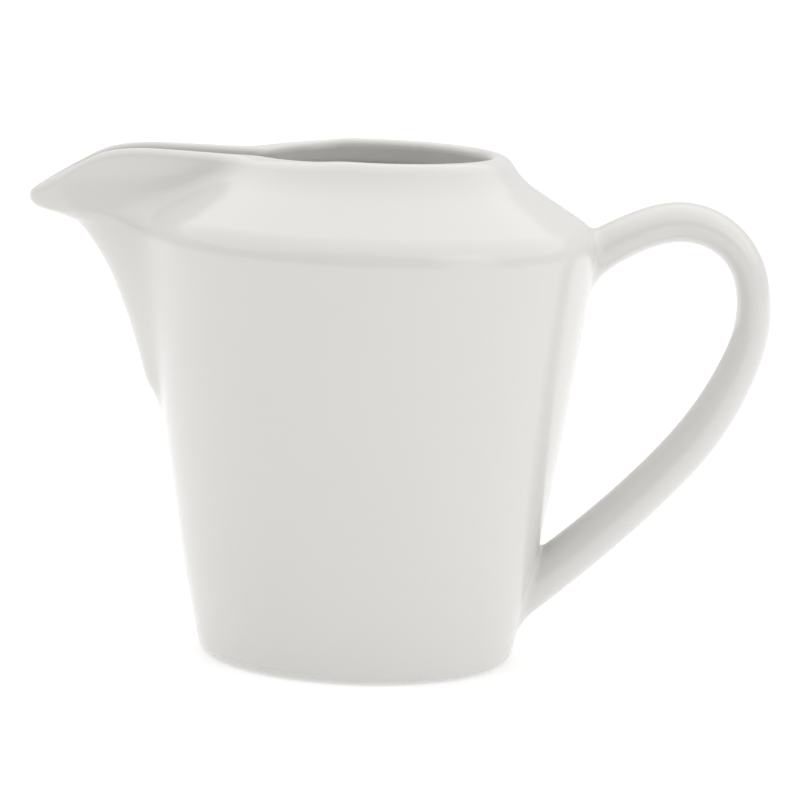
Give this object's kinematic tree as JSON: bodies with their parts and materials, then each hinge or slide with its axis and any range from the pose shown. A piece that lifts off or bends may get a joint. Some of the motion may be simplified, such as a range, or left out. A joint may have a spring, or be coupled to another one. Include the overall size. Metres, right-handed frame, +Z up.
{
  "type": "porcelain cream jug",
  "caption": "White glazed porcelain cream jug: tapered turned body with sloping shoulder, open beak spout and looped strap handle.",
  "frame": {"origin": "centre of the foot ring's resting plane", "axes": "+Z up along the turned body's axis, spout towards -X, handle towards +X"},
  "size_m": [0.1148, 0.07, 0.0788],
  "materials": {
    "porcelain_body": "gloss white glaze over porcelain",
    "porcelain_spout": "gloss white glaze over porcelain",
    "porcelain_handle": "gloss white glaze over porcelain",
    "porcelain_slip": "gloss white glaze over worked slip",
    "bare_porcelain": "unglazed, fine matt"
  },
  "bodies": {
    "root": {"jug_body": "porcelain_body", "foot_ring": "bare_porcelain", "pouring_spout": "porcelain_spout", "spout_slip_seam": "porcelain_slip", "handle": "porcelain_handle", "handle_upper_slip_joint": "porcelain_slip", "handle_lower_slip_joint": "porcelain_slip"}
  },
  "joints": []
}
